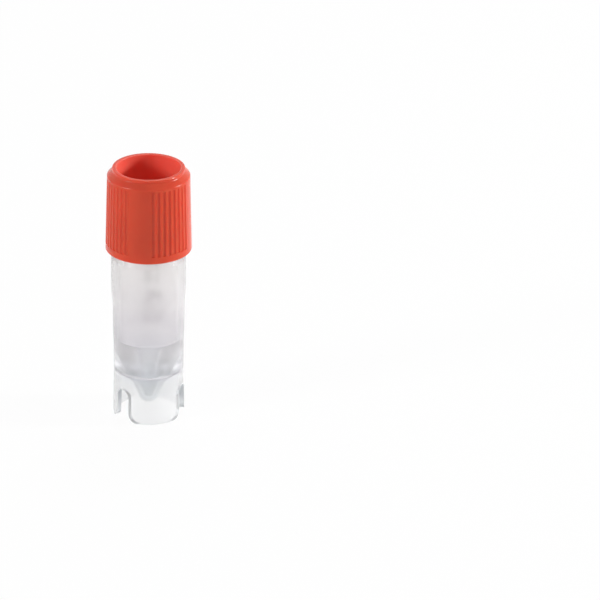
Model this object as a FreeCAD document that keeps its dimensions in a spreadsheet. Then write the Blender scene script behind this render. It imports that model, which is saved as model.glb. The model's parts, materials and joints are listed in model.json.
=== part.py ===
"""Self-standing cryogenic vial with an outside thread and a ribbed screw cap.

Three separate pieces, all turned about the upright Z axis:
  tube            one polypropylene moulding: three-legged skirt, conical chamber, collar, threaded neck
  cap             one polypropylene moulding: finger ribs, two-start inside thread, open recess on top
  sealing_washer  a silicone ring, held round the boss inside the cap, that closes the mouth

Millimetres, +Z up. The origin is the middle of the foot, on the surface that the vial stands on.
The front of the vial faces -Y.
"""
import FreeCAD, Part
import math
import os
import re

import Sketcher

V = FreeCAD.Vector

# ---------------------------------------------------------------- driving dimensions

SIZES = {
    # tube: radii are the bore plus a wall, so that a wider bore carries the rest with it
    "bore_radius": 4.80,             # inside of the mouth
    "bore_draft": 0.06,              # the chamber is this much narrower where its cone starts
    "chamber_height": 13.50,         # where the straight bore turns into the cone
    "cone_end_radius": 0.55,
    "cone_end_height": 2.85,
    "nose_wall": 1.00,               # wall of the cone, square to its surface
    "nose_round": 1.50,
    "cone_round": 0.60,
    "foot_wall": 0.98,               # the foot's outside stands this far out from the bore
    "skirt_wall": 0.85,              # the same at the top of the skirt
    "waist_wall": 0.90,
    "body_wall": 0.98,
    "shoulder_wall": 1.02,           # just below the collar
    "collar_wall": 1.23,
    "neck_wall": 0.68,
    "skirt_thickness": 0.78,
    "skirt_height": 7.90,            # top of the gap between the skirt and the nose
    "gap_round": 0.50,               # rounds at the top of that gap, as a share of its width
    "waist_height": 13.00,
    "waist_rise": 1.80,
    "shoulder_height": 19.60,
    "collar_rise": 1.80,
    "collar_height": 27.60,
    "collar_round": 0.50,
    "neck_rise": 1.50,               # the slope from the collar in to the neck
    "neck_length": 5.90,             # from the top of the slope to the mouth
    "rim_round": 0.20,
    # foot: three legs with slots between them
    "slot_count": 3,
    "slot_width": 2.60,
    "slot_height": 5.40,
    "slot_direction": -138.0,        # degrees about Z, from +X, of the slot at the front left
    "leg_corner": 1.50,
    "nose_gap": 0.40,                # the slots are cut from this far outside the nose
    # two-start thread, right-handed
    "thread_starts": 2,
    "thread_lead": 4.00,
    "thread_depth": 0.42,
    "thread_crest": 0.50,            # width of the ridge at its top
    "thread_flank": 0.30,            # how much wider the ridge is at each side of its root
    "thread_low": 0.85,              # lowest ridge centre, above the foot of the neck
    "thread_stop": 1.20,             # the neck ridges end this far below the mouth
    "cap_thread_stop": 1.85,         # the same for the ridges in the cap
    "thread_clearance": 0.16,
    "thread_direction": -60.0,       # degrees about Z, from +X, where a neck ridge starts
    # cap
    "cap_gap": 1.40,                 # bare slope seen between the collar and the cap
    "cap_wall": 0.90,
    "cap_draft": 0.30,
    "lead_in": 0.25,
    "web_thickness": 1.70,           # between the washer and the recess
    "recess_depth": 5.10,
    "recess_round": 0.45,
    "top_wall": 1.54,                # from the shoulder in to the recess
    "crown_drop": 1.32,              # from the top down to the shoulder
    "crown_inset": 0.82,             # from the shoulder in to the rim round the recess
    "rim_height": 0.50,              # that rim stands this far above the shoulder's slope
    "crown_round": 0.16,
    "cap_edge_round": 0.18,
    "boss_inset": 1.10,
    "boss_reach": 0.40,              # past the washer, into the mouth
    "seat_reach": 0.30,              # the washer's seat starts this far below the mouth
    "rib_groups": 4,
    "grooves_per_group": 8,
    "rib_pitch": 7.5,                # degrees
    "rib_direction": -83.60,         # degrees about Z, from +X, of one group's first groove
    "groove_radius": 0.42,
    "groove_depth": 0.16,
    "lip_height": 1.20,
    "rib_stop": 0.40,                # grooves end this far below the shoulder
    # sealing washer
    "washer_thickness": 1.20,
    "washer_clearance": 0.10,
    "washer_fit": 0.08,
    "washer_round": 0.20,
}

# Radii and heights that several profiles share, written out in terms of the sizes.
SHARED = {
    "neck_radius": "(bore_radius + neck_wall)",
    "chamber_radius": "(bore_radius - bore_draft)",
    "cone_slope": "((chamber_radius - cone_end_radius) / (chamber_height - cone_end_height))",
    "nose_offset": "(nose_wall * sqrt(1 + cone_slope ^ 2))",
    "neck_foot": "(collar_height + neck_rise)",
    "mouth_height": "(neck_foot + neck_length)",
    "crest_radius": "(neck_radius + thread_depth)",
    "cap_bore": "(crest_radius + thread_clearance)",
    "cap_foot": "(collar_height + cap_gap)",
    "cap_radius": "(cap_bore + cap_wall)",
    "seat_radius": "(neck_radius + washer_clearance)",
    "seat_height": "(mouth_height + washer_thickness)",
    "floor_height": "(seat_height + web_thickness)",
    "cap_top": "(floor_height + recess_depth)",
    "top_radius": "(cap_radius - cap_draft)",
    "recess_radius": "(top_radius - top_wall)",
    "boss_radius": "(bore_radius - boss_inset)",
    "thread_foot": "(neck_foot + thread_low)",
    "nose_root": "(chamber_radius - cone_slope * (chamber_height - skirt_height) + nose_offset)",
    "skirt_root": "(bore_radius + skirt_wall - skirt_thickness)",
    "skirt_round": "((skirt_root - nose_root) * gap_round)",
    "thread_rise": "(mouth_height - thread_stop - thread_foot)",
    "cap_thread_rise": "(mouth_height - cap_thread_stop - thread_foot)",
}


def bound(text):
    """Write a formula in terms of the sheet: shared names are spelled out, sizes get the sheet's name."""
    word = re.compile(r"[a-z_]+")
    while any(name in SHARED for name in word.findall(text)):
        text = word.sub(lambda found: SHARED.get(found.group(), found.group()), text)
    return word.sub(lambda found: "sizes." + found.group() if found.group() in SIZES else found.group(), text)


doc = FreeCAD.newDocument("cryovial")
sheet = doc.addObject("Spreadsheet::Sheet", "sizes")
for row, (alias, number) in enumerate(SIZES.items(), start=1):
    sheet.set("A%d" % row, alias)
    sheet.set("B%d" % row, str(number))
    sheet.setAlias("B%d" % row, alias)
doc.recompute()


# ---------------------------------------------------------------- helpers

def new_body(label):
    body = doc.addObject("PartDesign::Body", label)
    body.Label = label
    body.Placement = FreeCAD.Placement()
    return body


def origin_item(body, role):
    return [item for item in body.Origin.OriginFeatures if item.Role == role][0]


def attached_sketch(body, name, role, turn_axis, turn):
    """A sketch on one of the body's own origin planes, turned about the Z axis by a formula in degrees."""
    sketch = body.newObject("Sketcher::SketchObject", name)
    sketch.AttachmentSupport = [(origin_item(body, role), "")]
    sketch.MapMode = "FlatFace"
    sketch.AttachmentOffset = FreeCAD.Placement(V(0, 0, 0), FreeCAD.Rotation(turn_axis, 1.0))
    sketch.setExpression("AttachmentOffset.Rotation.Angle", bound(turn))
    return sketch


def upright_sketch(body, name, turn="0"):
    """Across is the radius towards that direction, up is Z, and the plane holds the Z axis."""
    return attached_sketch(body, name, "XZ_Plane", V(0, 1, 0), turn)


def level_sketch(body, name, turn, height):
    """A sketch level with the ground at a height."""
    sketch = attached_sketch(body, name, "XY_Plane", V(0, 0, 1), turn)
    sketch.setExpression("AttachmentOffset.Base.z", bound(height))
    return sketch


def drawn_size(sketch, kind, where):
    if kind == "Radius":
        return sketch.Geometry[where[0]].Radius
    start, end = sketch.getPoint(*where[:2]), sketch.getPoint(*where[2:])
    return end.x - start.x if kind == "DistanceX" else end.y - start.y


def hold(sketch, kind, name, formula, *where):
    """A length in a sketch, first as it was drawn and then tied to the sheet."""
    index = sketch.addConstraint(Sketcher.Constraint(kind, *where, drawn_size(sketch, kind, where)))
    sketch.renameConstraint(index, name)
    sketch.setExpression("Constraints." + name, bound(formula))


def place_corner(sketch, name, line, radius, height):
    """Put the start of a line at a radius and a height, each a formula."""
    if radius == "0":
        sketch.addConstraint(Sketcher.Constraint("PointOnObject", line, 1, -2))
    else:
        hold(sketch, "DistanceX", name + "_out", radius, -1, 1, line, 1)
    if height == "0":
        sketch.addConstraint(Sketcher.Constraint("PointOnObject", line, 1, -1))
    else:
        hold(sketch, "DistanceY", name + "_up", height, -1, 1, line, 1)


def outline(sketch, corners):
    """A closed outline of straight lines through named corners of (radius, height)."""
    count = len(corners)
    rough = [V(5 + math.cos(2 * math.pi * i / count), 5 + math.sin(2 * math.pi * i / count), 0)
             for i in range(count)]
    for i in range(count):
        sketch.addGeometry(Part.LineSegment(rough[i], rough[(i + 1) % count]), False)
    for i in range(count):
        sketch.addConstraint(Sketcher.Constraint("Coincident", i, 2, (i + 1) % count, 1))
    for i, (name, (radius, height)) in enumerate(corners.items()):
        place_corner(sketch, name, i, radius, height)


def revolve(body, name, corners):
    """Turn a closed half section all the way round the Z axis."""
    sketch = upright_sketch(body, name + "_section")
    outline(sketch, corners)
    solid = body.newObject("PartDesign::Revolution", name)
    solid.Profile = sketch
    solid.ReferenceAxis = (sketch, ["V_Axis"])
    solid.Angle = 360
    doc.recompute()
    return solid, dict(zip(corners, [line.StartPoint for line in sketch.Geometry]))


def round_rings(body, base, places, names, size):
    """Fillet the circular edges at the named corners of a turned section."""
    edges = []
    for i, edge in enumerate(base.Shape.Edges, start=1):
        for name in names:
            spot = places[name]
            middle = edge.valueAt((edge.FirstParameter + edge.LastParameter) / 2)
            ends = [vertex.Point for vertex in edge.Vertexes] + [middle]
            if all(math.hypot(math.hypot(p.x, p.y) - spot.x, p.z - spot.y) < 1e-4 for p in ends):
                edges.append("Edge%d" % i)
    fillet = body.newObject("PartDesign::Fillet", body.Label + "_" + size + "_" + names[0])
    fillet.Base = (base, edges)
    fillet.setExpression("Radius", bound(size))
    doc.recompute()
    return fillet


def polar(body, originals, name, count, degrees="360"):
    """Repeat features about the Z axis."""
    pattern = body.newObject("PartDesign::PolarPattern", name)
    pattern.Originals = originals
    pattern.Axis = (origin_item(body, "Z_Axis"), [""])
    pattern.setExpression("Angle", bound(degrees))
    pattern.setExpression("Occurrences", bound(count))
    body.Tip = pattern
    doc.recompute()
    return pattern


def thread(body, name, ridge, rise, direction):
    """Helical ridges on or in a wall: one ridge for each start."""
    sketch = upright_sketch(body, name + "_ridge", direction)
    outline(sketch, ridge)
    helix = body.newObject("PartDesign::AdditiveHelix", name)
    helix.Profile = sketch
    helix.ReferenceAxis = (sketch, ["V_Axis"])
    helix.Mode = "pitch-height-angle"
    helix.setExpression("Pitch", bound("thread_lead"))
    helix.setExpression("Height", bound(rise))
    helix.Angle = 0
    helix.LeftHanded = False
    helix.Reversed = False
    doc.recompute()
    return polar(body, [helix], name + "_starts", "thread_starts")


# ---------------------------------------------------------------- tube

tube = new_body("tube")
tube_solid, tube_spots = revolve(tube, "tube_wall", {
    "foot_outer": ("bore_radius + foot_wall", "0"),
    "skirt_outer": ("bore_radius + skirt_wall", "skirt_height"),
    "waist": ("bore_radius + waist_wall", "waist_height"),
    "body_foot": ("bore_radius + body_wall", "waist_height + waist_rise"),
    "shoulder": ("bore_radius + shoulder_wall", "shoulder_height"),
    "collar_foot": ("bore_radius + collar_wall", "shoulder_height + collar_rise"),
    "collar_top": ("bore_radius + collar_wall", "collar_height"),
    "neck_foot": ("neck_radius", "neck_foot"),
    "mouth_outer": ("neck_radius", "mouth_height"),
    "mouth_inner": ("bore_radius", "mouth_height"),
    "chamber": ("chamber_radius", "chamber_height"),
    "cone_end": ("cone_end_radius", "cone_end_height"),
    "cone_middle": ("0", "cone_end_height"),
    "nose_middle": ("0", "cone_end_height - nose_wall"),
    "nose_end": ("cone_end_radius - cone_slope * nose_wall + nose_offset", "cone_end_height - nose_wall"),
    "nose_root": ("nose_root", "skirt_height"),
    "skirt_root": ("skirt_root", "skirt_height"),
    "foot_inner": ("bore_radius + foot_wall - skirt_thickness", "0"),
})
tube_solid = round_rings(tube, tube_solid, tube_spots, ["nose_end"], "nose_round")
tube_solid = round_rings(tube, tube_solid, tube_spots, ["cone_end"], "cone_round")
tube_solid = round_rings(tube, tube_solid, tube_spots, ["nose_root", "skirt_root"], "skirt_round")
tube_solid = round_rings(tube, tube_solid, tube_spots, ["shoulder", "collar_foot", "collar_top"], "collar_round")
round_rings(tube, tube_solid, tube_spots, ["mouth_outer", "mouth_inner"], "rim_round")

# A slot between two legs: upright sides, a round top, and legs with round bottom corners. The
# sketch stands between the nose and the skirt, and the cut runs outwards from it.
SLOT_START = "(chamber_radius - cone_slope * (chamber_height - slot_height) + nose_offset + nose_gap)"
slot = upright_sketch(tube, "slot_outline", "slot_direction + 90")
slot.setExpression("AttachmentOffset.Base.x", bound(SLOT_START + " * sin(slot_direction + 90)"))
slot.setExpression("AttachmentOffset.Base.z", bound(SLOT_START + " * cos(slot_direction + 90)"))


def line(start, end):
    return slot.addGeometry(Part.LineSegment(V(*start, 0), V(*end, 0)), False)


def arc(middle, radius, first_turn, last_turn):
    circle = Part.Circle(V(*middle, 0), V(0, 0, 1), radius)
    return slot.addGeometry(Part.ArcOfCircle(circle, first_turn * math.pi, last_turn * math.pi), False)


left_side = line((-1.5, 1.5), (-1.5, 4))
round_top = arc((0, 4), 1.5, 0, 1)
right_side = line((1.5, 4), (1.5, 1.5))
right_foot = arc((3, 1.5), 1.5, 1, 1.5)
right_drop = line((3, 0), (3, -1))
under_side = line((3, -1), (-3, -1))
left_drop = line((-3, -1), (-3, 0))
left_foot = arc((-3, 1.5), 1.5, 1.5, 2)
for kind, *where in [
    ("Tangent", left_side, 2, round_top, 2),
    ("Tangent", round_top, 1, right_side, 1),
    ("Tangent", right_side, 2, right_foot, 1),
    ("Tangent", left_side, 1, left_foot, 2),
    ("Coincident", right_foot, 2, right_drop, 1),
    ("Coincident", right_drop, 2, under_side, 1),
    ("Coincident", under_side, 2, left_drop, 1),
    ("Coincident", left_drop, 2, left_foot, 1),
    ("Vertical", right_drop),
    ("Vertical", left_drop),
    ("Vertical", left_side),
    ("Vertical", right_side),
    ("Horizontal", under_side),
    ("Vertical", right_foot, 2, right_foot, 3),
    ("Vertical", left_foot, 1, left_foot, 3),
    ("PointOnObject", right_foot, 2, -1),
    ("PointOnObject", left_foot, 1, -1),
    ("PointOnObject", round_top, 3, -2),
]:
    slot.addConstraint(Sketcher.Constraint(kind, *where))
hold(slot, "Radius", "half_width", "slot_width / 2", round_top)
hold(slot, "Radius", "right_corner", "leg_corner", right_foot)
hold(slot, "Radius", "left_corner", "leg_corner", left_foot)
hold(slot, "DistanceY", "top_up", "slot_height - slot_width / 2", -1, 1, round_top, 3)
hold(slot, "DistanceY", "drop", "slot_width / 2", right_drop, 2, right_drop, 1)
slot_cut = tube.newObject("PartDesign::Pocket", "slot_cut")
slot_cut.Profile = slot
slot_cut.Type = "ThroughAll"
slot_cut.Reversed = True
doc.recompute()
polar(tube, [slot_cut], "slots", "slot_count")

thread(tube, "neck_thread", {
    "root_low": ("neck_radius - thread_clearance", "thread_foot - thread_crest / 2 - thread_flank"),
    "wall_low": ("neck_radius", "thread_foot - thread_crest / 2 - thread_flank"),
    "crest_low": ("crest_radius", "thread_foot - thread_crest / 2"),
    "crest_high": ("crest_radius", "thread_foot + thread_crest / 2"),
    "wall_high": ("neck_radius", "thread_foot + thread_crest / 2 + thread_flank"),
    "root_high": ("neck_radius - thread_clearance", "thread_foot + thread_crest / 2 + thread_flank"),
}, "thread_rise", "thread_direction")


# ---------------------------------------------------------------- cap

cap = new_body("cap")
cap_solid, cap_spots = revolve(cap, "cap_wall_and_web", {
    "lip_outer": ("cap_radius", "cap_foot"),
    "shoulder": ("top_radius", "cap_top - crown_drop"),
    "rim_foot": ("top_radius - crown_inset", "cap_top - rim_height"),
    "crown": ("top_radius - crown_inset", "cap_top"),
    "recess_rim": ("recess_radius", "cap_top"),
    "recess_floor": ("recess_radius", "floor_height"),
    "floor_middle": ("0", "floor_height"),
    "boss_middle": ("0", "mouth_height - boss_reach"),
    "boss_rim": ("boss_radius", "mouth_height - boss_reach"),
    "boss_root": ("boss_radius", "seat_height"),
    "seat_corner": ("seat_radius", "seat_height"),
    "seat_rim": ("seat_radius", "mouth_height - seat_reach"),
    "thread_top": ("cap_bore", "mouth_height - seat_reach - (cap_bore - seat_radius)"),
    "thread_bottom": ("cap_bore", "cap_foot + lead_in"),
    "lip_inner": ("cap_bore + lead_in", "cap_foot"),
})
cap_solid = round_rings(cap, cap_solid, cap_spots, ["shoulder", "rim_foot", "crown"], "crown_round")
cap_solid = round_rings(cap, cap_solid, cap_spots, ["recess_floor"], "recess_round")
round_rings(cap, cap_solid, cap_spots, ["recess_rim", "lip_outer"], "cap_edge_round")

# One upright groove, lofted between two circles so that it leans with the wall's draft.
GROOVE_OUT = " - cap_draft * (%s - cap_foot) / (cap_top - crown_drop - cap_foot)"
circles = []
for name, height in (("groove_foot", "(cap_foot + lip_height)"),
                     ("groove_head", "(cap_top - crown_drop - rib_stop)")):
    level = level_sketch(cap, name, "rib_direction", height)
    level.addGeometry(Part.Circle(V(1, 0, 0), V(0, 0, 1), 1), False)
    level.addConstraint(Sketcher.Constraint("PointOnObject", 0, 3, -1))
    hold(level, "Radius", "round", "groove_radius", 0)
    hold(level, "DistanceX", "out", "cap_radius + groove_radius - groove_depth" + GROOVE_OUT % height, -1, 1, 0, 3)
    circles.append(level)
groove = cap.newObject("PartDesign::SubtractiveLoft", "groove")
groove.Profile = circles[0]
groove.Sections = [circles[1]]
groove.Ruled = True
doc.recompute()

# The groove is repeated across one group of ribs, and the group round the cap.
ribs = cap.newObject("PartDesign::MultiTransform", "ribs")
ribs.Originals = [groove]
steps = []
for name, count, degrees in (("one_group", "grooves_per_group", "rib_pitch * (grooves_per_group - 1)"),
                             ("all_groups", "rib_groups", "360")):
    step = cap.newObject("PartDesign::PolarPattern", name)
    step.Axis = (origin_item(cap, "Z_Axis"), [""])
    step.setExpression("Angle", bound(degrees))
    step.setExpression("Occurrences", bound(count))
    steps.append(step)
ribs.Transformations = steps
cap.Tip = ribs
doc.recompute()

# The cap's ridges run midway between the neck's, a quarter turn on for a two-start thread.
thread(cap, "cap_thread", {
    "root_low": ("cap_bore + thread_clearance", "thread_foot - thread_crest / 2 - thread_flank"),
    "wall_low": ("cap_bore", "thread_foot - thread_crest / 2 - thread_flank"),
    "crest_low": ("neck_radius + thread_clearance", "thread_foot - thread_crest / 2"),
    "crest_high": ("neck_radius + thread_clearance", "thread_foot + thread_crest / 2"),
    "wall_high": ("cap_bore", "thread_foot + thread_crest / 2 + thread_flank"),
    "root_high": ("cap_bore + thread_clearance", "thread_foot + thread_crest / 2 + thread_flank"),
}, "cap_thread_rise", "thread_direction + 180 / thread_starts")


# ---------------------------------------------------------------- sealing washer

washer = new_body("sealing_washer")
washer_solid, washer_spots = revolve(washer, "washer_ring", {
    "face_inner": ("boss_radius + washer_fit", "mouth_height"),
    "face_outer": ("seat_radius - washer_clearance", "mouth_height"),
    "back_outer": ("seat_radius - washer_clearance", "seat_height"),
    "back_inner": ("boss_radius + washer_fit", "seat_height"),
})
round_rings(washer, washer_solid, washer_spots, list(washer_spots), "washer_round")
doc.recompute()


# ---------------------------------------------------------------- checks and export

for item in doc.Objects:
    if "Invalid" in item.State or "Error" in item.State:
        raise RuntimeError("%s did not recompute: %s" % (item.Name, item.State))
os.makedirs("parts", exist_ok=True)
for body in (tube, cap, washer):
    shape = body.Shape
    if shape.isNull() or not shape.isValid() or len(shape.Solids) != 1:
        raise RuntimeError("%s is not one valid solid" % body.Label)
    shape.exportStep(os.path.join("parts", body.Label + ".step"))
    print("%-15s %9.2f mm3  %s" % (body.Label, shape.Volume, shape.BoundBox))
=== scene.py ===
# %% [markdown]
# # A cryogenic vial
# A small plastic tube for freezing samples, closed by an orange-red screw cap. The tube is natural
# polypropylene, which is milky: light goes through it, but not straight. The cap is the same plastic
# with a strong pigment. Most of this scene is therefore about light: how far it gets into each plastic,
# how rough each moulded face is, and what stands behind it.
#
# The three solid pieces come in with the frame, already round, filleted and ribbed. They keep their
# shapes here and get their plastics. What the moulds don't make is added: the printed graduation.

# %% Load the frame
import bpy
import json
import math
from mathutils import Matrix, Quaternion, Vector


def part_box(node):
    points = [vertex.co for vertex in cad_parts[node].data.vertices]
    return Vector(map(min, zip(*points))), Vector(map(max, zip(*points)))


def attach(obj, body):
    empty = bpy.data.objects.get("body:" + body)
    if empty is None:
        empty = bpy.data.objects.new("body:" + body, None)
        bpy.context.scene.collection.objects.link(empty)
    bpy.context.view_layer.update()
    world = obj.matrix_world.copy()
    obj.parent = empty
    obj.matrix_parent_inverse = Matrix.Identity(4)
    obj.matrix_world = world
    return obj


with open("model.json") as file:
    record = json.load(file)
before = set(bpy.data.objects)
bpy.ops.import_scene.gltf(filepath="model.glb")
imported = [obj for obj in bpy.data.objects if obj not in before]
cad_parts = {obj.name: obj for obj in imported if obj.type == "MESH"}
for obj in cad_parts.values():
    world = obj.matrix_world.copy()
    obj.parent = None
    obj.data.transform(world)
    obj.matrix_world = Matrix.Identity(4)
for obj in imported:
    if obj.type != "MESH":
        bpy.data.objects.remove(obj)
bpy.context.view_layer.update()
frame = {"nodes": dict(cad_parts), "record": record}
bpy.ops.object.select_all(action="DESELECT")
MM = 0.001

# %% [markdown]
# ## Camera
# The vial is seen from a little above, from far enough away that its sides stay almost parallel, so the
# lens is long. The camera points a little to the right of the vial, which leaves it left of the middle.
# It turns about its own upright axis to do that, so the vial doesn't lean in the frame.

# %% Camera
LOOK_DOWN, DISTANCE = math.radians(24.6), 700 * MM
PAN, TILT = math.radians(2.0), math.radians(0.1)
LENS, SENSOR = 260, 36                   # in millimetres, as on a real camera
NEAREST, FARTHEST = 0.05, 20             # in metres: what lies between the two is drawn
target = Vector((0, 0, 21 * MM))         # on the axis, near the middle of the vial
back = Vector((0, -math.cos(LOOK_DOWN), math.sin(LOOK_DOWN)))

bpy.ops.object.camera_add(location=target + back * DISTANCE)
camera = bpy.context.object
camera.data.lens, camera.data.sensor_width = LENS, SENSOR
camera.data.clip_start, camera.data.clip_end = NEAREST, FARTHEST
towards_vial = (-back).to_track_quat("-Z", "Y")
camera.rotation_mode = "QUATERNION"
camera.rotation_quaternion = towards_vial @ Quaternion((0, 1, 0), -PAN) @ Quaternion((1, 0, 0), -TILT)
bpy.context.scene.camera = camera
print("camera at", [round(x, 3) for x in camera.location])

# %% [markdown]
# ## Node maths
# A finish is a sum of small effects, and each is a few numbers multiplied and added. Wiring Math nodes
# by hand hides that, so a socket is wrapped in a class that knows +, - and *. Every other node comes
# from one method that takes its type, its settings and what goes into its sockets.

# %% Shader class
class Wire:
    """A socket of a material's nodes. Arithmetic on it adds Math nodes."""

    def __init__(self, tree, socket=None):
        self.tree, self.socket = tree, socket

    def node(self, kind, settings=None, sockets=None, output=0):
        """Add a node, and give back one of its outputs."""
        made = self.tree.nodes.new(kind)
        for name, value in (settings or {}).items():
            if name == "stops":
                ramp = made.color_ramp.elements
                while len(ramp) < len(value):
                    ramp.new(0.5)
                for element, (place, colour) in zip(ramp, value):
                    element.position, element.color = place, colour
            else:
                setattr(made, name, value)
        for name, value in (sockets or {}).items():
            if isinstance(value, Wire):
                self.tree.links.new(value.socket, made.inputs[name])
            else:
                made.inputs[name].default_value = value
        return Wire(self.tree, made.outputs[output]) if made.outputs else None

    def maths(self, operation, *values):
        """A Math node on these values."""
        return self.node("ShaderNodeMath", {"operation": operation}, dict(enumerate(values)))

    def __add__(self, other):
        return self.maths("ADD", self, other)

    def __sub__(self, other):
        return self.maths("SUBTRACT", self, other)

    def __rsub__(self, other):
        return self.maths("SUBTRACT", other, self)

    def __mul__(self, other):
        return self.maths("MULTIPLY", self, other)

    __radd__, __rmul__ = __add__, __mul__

    def step(self, low, high):
        """0 below low, 1 above high, and smooth between."""
        return self.node("ShaderNodeMapRange", {"interpolation_type": "SMOOTHSTEP"},
                         {"Value": self, "From Min": low, "From Max": high})

    def blend(self, first, second):
        """The first colour where this is 0, and the second where it is 1."""
        return self.node("ShaderNodeMix", {"data_type": "RGBA"}, {0: self, 6: first, 7: second}, output=2)

    def times(self, colour):
        """This colour multiplied by another."""
        return self.node("ShaderNodeMix", {"data_type": "RGBA", "blend_type": "MULTIPLY"},
                         {0: 1.0, 6: self, 7: colour}, output=2)

    def parts(self):
        """The x, y and z of this vector."""
        apart = self.node("ShaderNodeSeparateXYZ", {}, {"Vector": self}).socket.node
        return [Wire(self.tree, end) for end in apart.outputs]


print("Wire is ready")

# %% [markdown]
# Every material here starts and ends in the same way, and most have cloudy noise and a fine bump, so
# those steps are functions. The patterns are laid out in object coordinates. These are metres from the
# middle of the vial's foot, so a height or a distance from the axis can be written as it is measured on
# the part, and a pattern stays on its piece when the piece moves.

# %% Material helpers
WHITE = (1, 1, 1, 1)
GRAIN_DEPTH = 0.01 * MM                  # how deep the texture of a moulded skin is
POLISHED = 0.13                          # roughness of plastic from a polished mould
POLYPROPYLENE_IOR = 1.49


def new_material(name):
    """A material with an empty node tree, and a Wire to build on."""
    material = bpy.data.materials.new(name)
    material.use_nodes = True
    material.node_tree.nodes.clear()
    return material, Wire(material.node_tree)


def finish_material(wire, surface):
    """Make this shader the material's surface."""
    wire.node("ShaderNodeOutputMaterial", {}, {"Surface": surface})


def object_place(wire):
    """Where a point lies on its piece, in metres."""
    return wire.node("ShaderNodeTexCoord", {}, {}, output="Object")


def off_axis(wire, x, y):
    """How far a point is from the vial's axis."""
    return wire.maths("SQRT", x * x + y * y)


def noise(wire, place, size, detail):
    """Cloudy noise whose blobs are about this many metres across."""
    return wire.node("ShaderNodeTexNoise", {}, {"Vector": place, "Scale": 1 / size, "Detail": detail})


def relief(wire, grain, strength):
    """A normal that shows this grain as a fine relief."""
    return wire.node("ShaderNodeBump", {}, {"Height": grain, "Strength": strength, "Distance": GRAIN_DEPTH})


print("helpers are ready")

# %% [markdown]
# ## Natural polypropylene
# The tube has no pigment. Its plastic is a clouded glass: some light passes, bent by the walls, and
# some is scattered back as a soft white. A Principled shader does both at once when its transmission
# is below one. How frosted it looks is then a question of roughness. The body between the waist and
# the collar is etched in the mould to take ink, while the skirt and the neck come off polished steel and
# stay clearer. Below the straight part of the chamber the wall thickens round a cone, and light doesn't
# cross this solid web as cleanly. So two masks follow the height, for the web and for the etched body.

# %% Tube: the web and the etched body
WEB_FROM, BODY_FROM, BODY_TO, FADE = 7.4 * MM, 13.2 * MM, 27.4 * MM, 1.0 * MM

tube_plastic, wire = new_material("natural_polypropylene")
place = object_place(wire)
x, y, z = place.parts()
radius = off_axis(wire, x, y)
above_web = z.step(BODY_FROM, BODY_FROM + FADE)
web = z.step(WEB_FROM, WEB_FROM + FADE) * (1 - above_web)
etched = above_web * (1 - z.step(BODY_TO, BODY_TO + FADE))
print("web, body and collar start at", [round(h / MM, 1) for h in (WEB_FROM, BODY_FROM, BODY_TO)], "mm")

# %% [markdown]
# Where there is more plastic on a ray's way, less light comes through. A volume shader would work that
# out, but with one density for the whole tube the solid parts go dark before the thin ones look right. A
# tint on the surface is easier to steer, and the thick places are known: the web and the nose, which hangs
# down inside the skirt. The same tint also carries painted light. The web's upper half is left near white,
# a painted brightening where the cone catches light, and the etched body goes from a painted shade at its
# lower end to a pale, warm tint at the collar, which paints in the red cap's light. A colour ramp gives
# the tint at each height, and a mask about the axis adds the nose.

# %% Tube: tints
RAMP_TOP = 28 * MM
tints_and_painted_light = [
    (6.5 * MM, (0.990, 0.993, 1.000, 1)),     # the skirt, and what is below it
    (8.3 * MM, (0.945, 0.945, 0.975, 1)),     # the web's lower half
    (10.3 * MM, (0.950, 0.945, 0.975, 1)),
    # painted brightening: the web's upper half is kept near white where the cone catches light
    (11.4 * MM, (1.000, 0.985, 1.000, 1)),    # the web's upper half
    (13.2 * MM, (1.000, 0.980, 1.000, 1)),
    # painted light: a painted shade here, rising to a pale, warm tint at the collar for the red cap's light
    (14.2 * MM, (0.865, 0.853, 0.878, 1)),    # the etched body, darkest at its lower end
    (19.0 * MM, (0.960, 0.937, 0.950, 1)),
    (26.0 * MM, (1.000, 0.985, 0.982, 1)),    # the collar, and what is above it
]
NOSE_TINT = (0.88, 0.91, 0.93, 1)
NOSE_RADIUS, NOSE_CLEAR = 3.8 * MM, 4.6 * MM  # tinted inside the first, and clear past the second
NOSE_TOP, NOSE_END = 7.0 * MM, 8.4 * MM       # tinted below the first, and clear above the second

by_height = wire.node("ShaderNodeValToRGB", {"stops": [(height / RAMP_TOP, tint) for height, tint in tints_and_painted_light]},
                      {"Fac": z * (1 / RAMP_TOP)})
nose = (1 - radius.step(NOSE_RADIUS, NOSE_CLEAR)) * (1 - z.step(NOSE_TOP, NOSE_END))
tinted = by_height.times(nose.blend(WHITE, NOSE_TINT))
print("tints:", len(tints_and_painted_light), "heights and the nose")

# %% [markdown]
# The three legs are as thin as the skirt. Their narrow faces, at the sides of the slots and at the foot,
# are painted grey, a painted shade for the darkening that refraction gives them, and are made rougher.
# They are found by their normal: on the legs' broad faces it points straight to the axis or away from it,
# and on the narrow ones it doesn't. The Geometry node gives the normal in the world's directions, which
# are the tube's own as well, because the tube never turns.

# %% Tube: the narrow faces of the legs
SLOT_TOP, SLOT_FADE = 5.5 * MM, 0.6 * MM
INSIDE_SKIRT, SKIRT_WALL = 4.4 * MM, 4.8 * MM
SIDEWAYS, STRAIGHT_OUT = 0.35, 0.8            # the outward part of a normal, from 0 to 1
LEG_EDGE_PAINTED_SHADE = (0.78, 0.81, 0.83, 1)

normal_x, normal_y = wire.node("ShaderNodeNewGeometry", {}, {}, output="Normal").parts()[:2]
outward = wire.maths("ABSOLUTE", wire.maths("DIVIDE", normal_x * x + normal_y * y, radius))
legs = (1 - z.step(SLOT_TOP, SLOT_TOP + SLOT_FADE)) * radius.step(INSIDE_SKIRT, SKIRT_WALL)
leg_edges = legs * (1 - outward.step(SIDEWAYS, STRAIGHT_OUT))
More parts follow.
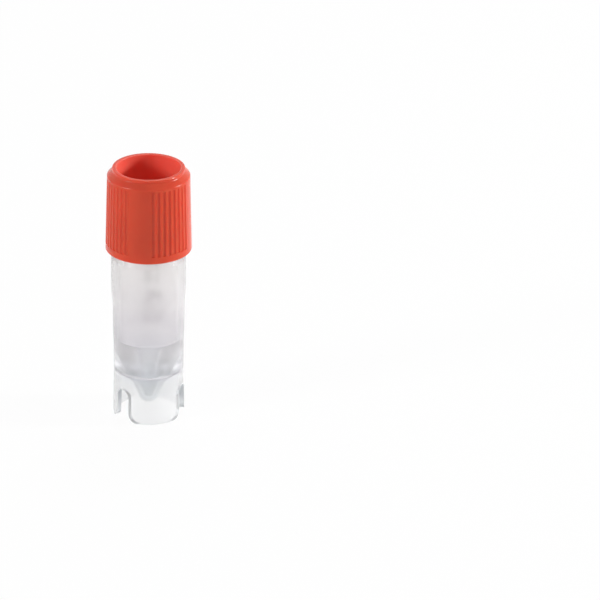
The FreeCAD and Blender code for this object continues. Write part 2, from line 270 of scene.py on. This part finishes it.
# painted shade: the narrow faces of the legs are greyed
tinted = tinted.times(leg_edges.blend(WHITE, LEG_EDGE_PAINTED_SHADE))
print("leg edges below", round(SLOT_TOP / MM, 1), "mm")

# %% [markdown]
# Two small things are left. Faint clouding stands for the way the plastic cools unevenly, and a fine bump
# breaks up the highlights. Roughness starts from that of polished plastic and grows by each mask.

# %% Tube: the shader
CLOUD_SIZE, CLOUD_DETAIL, CLOUD_TINT = 3.5 * MM, 3, (0.97, 0.97, 0.97, 1)
GRAIN_SIZE, GRAIN_DETAIL, GRAIN_STRENGTH = 0.12 * MM, 2, 0.05

clouds = noise(wire, place, CLOUD_SIZE, CLOUD_DETAIL)
grain = noise(wire, place, GRAIN_SIZE, GRAIN_DETAIL)
finish_material(wire, wire.node("ShaderNodeBsdfPrincipled", {}, {
    "Base Color": tinted.times(clouds.blend(CLOUD_TINT, WHITE)),
    "Normal": relief(wire, grain, GRAIN_STRENGTH),
    "Roughness": POLISHED + web * 0.09 + etched * 0.06 + clouds * 0.05 + leg_edges * 0.2,
    "IOR": POLYPROPYLENE_IOR, "Transmission Weight": 0.79}))
frame["nodes"]["tube"].material_slots[0].material = tube_plastic
print("tube:", tube_plastic.name, "with", len(tube_plastic.node_tree.nodes), "nodes")

# %% [markdown]
# ## Pigmented polypropylene
# The cap's pigment is strong, but the walls are thin, and light that enters one face leaves by another
# with a warmer colour. Subsurface scattering gives that: red travels farthest, about two millimetres,
# which is more than the wall's thickness, so the lit side glows a little. The surface is a moulded satin:
# glossy where an edge turns, with a little grain, and the pigment lies in faint swirls.
#
# The recess on top is painted paler and pinker than the rest of the skin: painted light, standing in for
# the light that the lamps don't bring into the shaded recess. Its roughness is raised there as well. The
# mask for it takes the recess's radius and depth from the part's record, where the recess is given as a
# mount.

# %% Cap: the recess
RIM_FADE = 0.3 * MM
MASK_STARTS, MASK_FULL = 0.5 * MM, 0.1 * MM       # both below the floor of the recess

cap_plastic, wire = new_material("orange_red_polypropylene")
place = object_place(wire)
x, y, z = place.parts()
recess_size = next(mount["dims"] for mount in frame["record"]["mounts"] if mount["name"] == "cap_recess")
recess_radius = recess_size["r_mm"] * MM
recess_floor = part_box("cap")[1][2] - recess_size["length_mm"] * MM
# mask of the recess, where light is painted in and the skin is rougher
dull_and_painted_light = ((1 - off_axis(wire, x, y).step(recess_radius, recess_radius + RIM_FADE))
        * z.step(recess_floor - MASK_STARTS, recess_floor - MASK_FULL))
print("recess:", round(recess_radius / MM, 2), "mm in radius, floor at", round(recess_floor / MM, 2), "mm")

# %% Cap: the shader
SWIRL_SIZE, SWIRL_DETAIL = 4.0 * MM, 4
GRAIN_SIZE, GRAIN_DETAIL, GRAIN_STRENGTH = 0.09 * MM, 2, 0.10
SKIN_DEEP, SKIN_PALE = (0.60, 0.058, 0.020, 1), (0.67, 0.072, 0.027, 1)
# painted light: the recess's paler, pinker colours
RECESS_PAINTED_LIGHT_DEEP, RECESS_PAINTED_LIGHT_PALE = (0.76, 0.115, 0.080, 1), (0.84, 0.135, 0.095, 1)

swirls = noise(wire, place, SWIRL_SIZE, SWIRL_DETAIL)
grain = noise(wire, place, GRAIN_SIZE, GRAIN_DETAIL)
finish_material(wire, wire.node("ShaderNodeBsdfPrincipled", {}, {
    "Base Color": dull_and_painted_light.blend(swirls.blend(SKIN_DEEP, SKIN_PALE), swirls.blend(RECESS_PAINTED_LIGHT_DEEP, RECESS_PAINTED_LIGHT_PALE)),
    "Normal": relief(wire, grain, GRAIN_STRENGTH),
    "Roughness": POLISHED + swirls * 0.07 + grain * 0.05 + dull_and_painted_light * 0.25,
    "IOR": POLYPROPYLENE_IOR, "Specular IOR Level": 0.27,
    "Subsurface Weight": 0.7, "Subsurface Radius": (1.0, 0.20, 0.16), "Subsurface Scale": 2.2 * MM}))
frame["nodes"]["cap"].material_slots[0].material = cap_plastic
print("cap:", cap_plastic.name, "with", len(cap_plastic.node_tree.nodes), "nodes")

# %% [markdown]
# ## Silicone
# The washer is a greyish silicone ring, hidden while the cap is on and seen from below once it is off.
# Silicone is softer to the eye than polypropylene: cloudy, faintly warm, with a dull skin. A grey
# surface alone would look as hard as the cap, so light is let in a little way, and much the same way for
# every colour.

# %% Washer silicone
CLOUD_SIZE, CLOUD_DETAIL = 1.2 * MM, 3
GRAIN_SIZE, GRAIN_DETAIL, GRAIN_STRENGTH = 0.08 * MM, 2, 0.12
SILICONE_DEEP, SILICONE_PALE = (0.50, 0.45, 0.48, 1), (0.60, 0.55, 0.58, 1)

silicone, wire = new_material("grey_silicone")
place = object_place(wire)
clouds = noise(wire, place, CLOUD_SIZE, CLOUD_DETAIL)
grain = noise(wire, place, GRAIN_SIZE, GRAIN_DETAIL)
finish_material(wire, wire.node("ShaderNodeBsdfPrincipled", {}, {
    "Base Color": clouds.blend(SILICONE_DEEP, SILICONE_PALE),
    "Normal": relief(wire, grain, GRAIN_STRENGTH),
    "Roughness": 0.42 + clouds * 0.1, "IOR": 1.41,
    "Subsurface Weight": 0.5, "Subsurface Radius": (1.0, 0.8, 0.9), "Subsurface Scale": 0.8 * MM}))
frame["nodes"]["sealing_washer"].material_slots[0].material = silicone
print("washer:", silicone.name, "with", len(silicone.node_tree.nodes), "nodes")

# %% [markdown]
# ## The printed graduation
# Two lines and three short words are printed on the back of the etched body: 1.0 mL is at the upper
# line and 0.5 mL at the lower. Ink has almost no thickness, but a picture wrapped on the tube would need
# an image file, and the edges of real letters stay sharp at any distance. So the print is modelled: type
# laid out flat, made into a mesh, cut into narrow upright strips so that it can curve, and laid on the
# tube with a Shrinkwrap. A Solidify then gives it the thickness of a coat of ink.

# %% Ink
SPECK_SIZE, SPECK_DETAIL = 0.25 * MM, 4
INK_DARK, INK_THIN = (0.060, 0.062, 0.068, 1), (0.13, 0.133, 0.140, 1)

ink, wire = new_material("grey_ink")
specks = noise(wire, object_place(wire), SPECK_SIZE, SPECK_DETAIL)
finish_material(wire, wire.node("ShaderNodeBsdfPrincipled", {}, {
    "Base Color": specks.blend(INK_DARK, INK_THIN), "Roughness": 0.45 + specks * 0.2, "IOR": 1.5}))
print("ink:", ink.name, "with", len(ink.node_tree.nodes), "nodes")

# %% Type, laid out flat
LINE_LENGTH, LINE_THICKNESS, LETTER_HEIGHT = 5.2 * MM, 0.28 * MM, 2.0 * MM
CAPITAL = 0.73                           # height of a capital letter when the type's size is 1
UPPER_LINE, LOWER_LINE = 23.1 * MM, 16.2 * MM
word_middles = {"1.0": UPPER_LINE - 1.5 * MM, "ML": 18.3 * MM, "0.5": LOWER_LINE - 1.8 * MM}

flat_pieces = []
for word, middle in word_middles.items():
    bpy.ops.object.text_add(location=(LINE_LENGTH / 2, middle - LETTER_HEIGHT / 2, 0))
    piece = bpy.context.object
    piece.data.body = word
    piece.data.size = LETTER_HEIGHT / CAPITAL
    piece.data.align_x = "RIGHT"
    flat_pieces.append(piece)
for height in (UPPER_LINE, LOWER_LINE):
    bpy.ops.mesh.primitive_plane_add(size=1, location=(0, height, 0))
    piece = bpy.context.object
    piece.scale = (LINE_LENGTH, LINE_THICKNESS, 1)
    flat_pieces.append(piece)
print("flat pieces:", len(flat_pieces))

# %% One flat mesh, in strips
STRIP = 0.2 * MM

for piece in flat_pieces:
    piece.select_set(True)
bpy.ops.object.convert(target="MESH")
bpy.ops.object.transform_apply(location=True, rotation=True, scale=True)
bpy.ops.object.join()
graduation = bpy.context.object
graduation.name = "graduation"

bpy.ops.object.mode_set(mode="EDIT")
strips = round(LINE_LENGTH / STRIP)
for cut in range(1, strips):
    bpy.ops.mesh.select_all(action="SELECT")
    bpy.ops.mesh.bisect(plane_co=(cut * STRIP - LINE_LENGTH / 2, 0, 0), plane_no=(1, 0, 0))
bpy.ops.object.mode_set(mode="OBJECT")
print("graduation:", [round(side / MM, 2) for side in graduation.dimensions], "mm flat,", strips, "strips")

# %% [markdown]
# The flat print is stood upright behind the vial, facing away from it, and slid along its own normal
# until it meets the tube. The Shrinkwrap stops a hundredth of a millimetre short of the wall, so that
# ink and plastic never share a face.

# %% The print goes on the tube
DIRECTION, AWAY = math.radians(73.5), 9 * MM      # where the print is from the axis, turning from +X
INK_GAP, INK_THICKNESS = 0.01 * MM, 0.012 * MM
QUARTER_TURN = math.radians(90)

graduation.rotation_euler = (QUARTER_TURN, 0, DIRECTION + QUARTER_TURN)
graduation.location = (AWAY * math.cos(DIRECTION), AWAY * math.sin(DIRECTION), 0)
wrap = graduation.modifiers.new("lie on the tube", "SHRINKWRAP")
wrap.target = frame["nodes"]["tube"]
wrap.wrap_method = "PROJECT"
wrap.use_project_z = True
wrap.use_positive_direction, wrap.use_negative_direction = False, True
wrap.offset = INK_GAP
coat = graduation.modifiers.new("ink has a thickness", "SOLIDIFY")
coat.thickness, coat.offset = INK_THICKNESS, 1
for modifier in (wrap.name, coat.name):
    bpy.ops.object.modifier_apply(modifier=modifier)
bpy.ops.object.transform_apply(location=True, rotation=True, scale=True)
graduation.data.materials.clear()
graduation.data.materials.append(ink)
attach(graduation, "vial")
reach = [math.hypot(v.co.x, v.co.y) / MM for v in graduation.data.vertices]
print("graduation:", len(graduation.data.polygons), "faces,",
      round(min(reach), 3), "to", round(max(reach), 3), "mm from the axis")

# %% [markdown]
# ## Floor and light
# A vial like this is sold on plain white. The floor is a very large pale disc, wide enough to end out of
# sight, and the world behind it is white too. Where a ray comes straight from the camera, from a shiny
# face or through the clear plastic, both glow at full white. For the light that falls on the vial they
# stay quieter, so that its own colours come out as they are and the pale plastic doesn't burn out. The
# floor keeps a twentieth of its shading, and with it the vial's faint shadow.

# %% Which rays see plain white
def seen_directly(wire):
    """1 for rays from the camera, from a reflection or through clear plastic, and 0 for the rest."""
    path = wire.node("ShaderNodeLightPath").socket.node
    rays = [Wire(wire.tree, path.outputs[name])
            for name in ("Is Camera Ray", "Is Glossy Ray", "Is Transmission Ray")]
    return wire.maths("MINIMUM", sum(rays), 1.0)


print("ray test is ready")

# %% Floor
FLOOR_RADIUS, FLOOR_SIDES, FLOOR_GLOW = 3.0, 96, 0.95
MOTTLE_SIZE, MOTTLE_DETAIL = 30 * MM, 2
FLOOR_DEEP, FLOOR_PALE = (0.90, 0.90, 0.90, 1), (0.93, 0.93, 0.93, 1)

floor_paint, wire = new_material("white_floor")
mottle = noise(wire, object_place(wire), MOTTLE_SIZE, MOTTLE_DETAIL)
lit = wire.node("ShaderNodeBsdfDiffuse", {}, {"Color": mottle.blend(FLOOR_DEEP, FLOOR_PALE)})
glow = wire.node("ShaderNodeEmission", {}, {"Strength": 1.0})
finish_material(wire, wire.node("ShaderNodeMixShader", {},
                                {0: seen_directly(wire) * FLOOR_GLOW, 1: lit, 2: glow}))

bpy.ops.mesh.primitive_circle_add(vertices=FLOOR_SIDES, radius=FLOOR_RADIUS, fill_type="NGON",
                                  location=(0, 0, 0))
floor = bpy.context.object
floor.name = "floor"
floor.data.materials.append(floor_paint)
print("floor:", FLOOR_RADIUS * 2, "m across")

# %% World
FILL = 0.30                              # the strength at which the world lights the vial

world = bpy.data.worlds.new("studio")
bpy.context.scene.world = world
world.use_nodes = True
world.node_tree.nodes.clear()
wire = Wire(world.node_tree)
strength = FILL + seen_directly(wire) * (1 - FILL)
sky = wire.node("ShaderNodeBackground", {}, {"Color": WHITE, "Strength": strength})
wire.node("ShaderNodeOutputWorld", {}, {"Surface": sky})
print("world:", world.name)

# %% [markdown]
# Three soft lamps do the modelling. The strong one stands square to the view on the right: each rib on
# that side gets a light flank and a dark one, and its light just reaches over the rim to the top of the
# recess's left wall. The second has about half its power. It stands nearer the front on the left, where
# it faces the ribs and flattens them. Between the two the front of the cap is the darkest part of the
# round. The third is larger and weaker, high up behind the vial, where it lights the recess and shines
# through the milky tube.

# %% Lamps
LAMP_DISTANCE = 0.7


def softbox(name, azimuth, elevation, size, watts):
    """A square lamp that faces the vial; azimuth 0 is in front and grows to the right."""
    a, e = math.radians(azimuth), math.radians(elevation)
    away = Vector((math.sin(a) * math.cos(e), -math.cos(a) * math.cos(e), math.sin(e)))
    bpy.ops.object.light_add(type="AREA", location=target + away * LAMP_DISTANCE)
    lamp = bpy.context.object
    lamp.name = name
    lamp.rotation_mode = "QUATERNION"
    lamp.rotation_quaternion = (-away).to_track_quat("-Z", "Y")
    lamp.data.size = size
    lamp.data.energy = watts


softbox("right", azimuth=90, elevation=17, size=0.12, watts=4.2)
softbox("left", azimuth=-63, elevation=21, size=0.14, watts=2.3)
softbox("behind", azimuth=170, elevation=58, size=0.30, watts=1.4)

# %% [markdown]
# ## Finish
# The Standard view shows a colour as it is written.

# %% Finish
bpy.context.scene.view_settings.view_transform = "Standard"
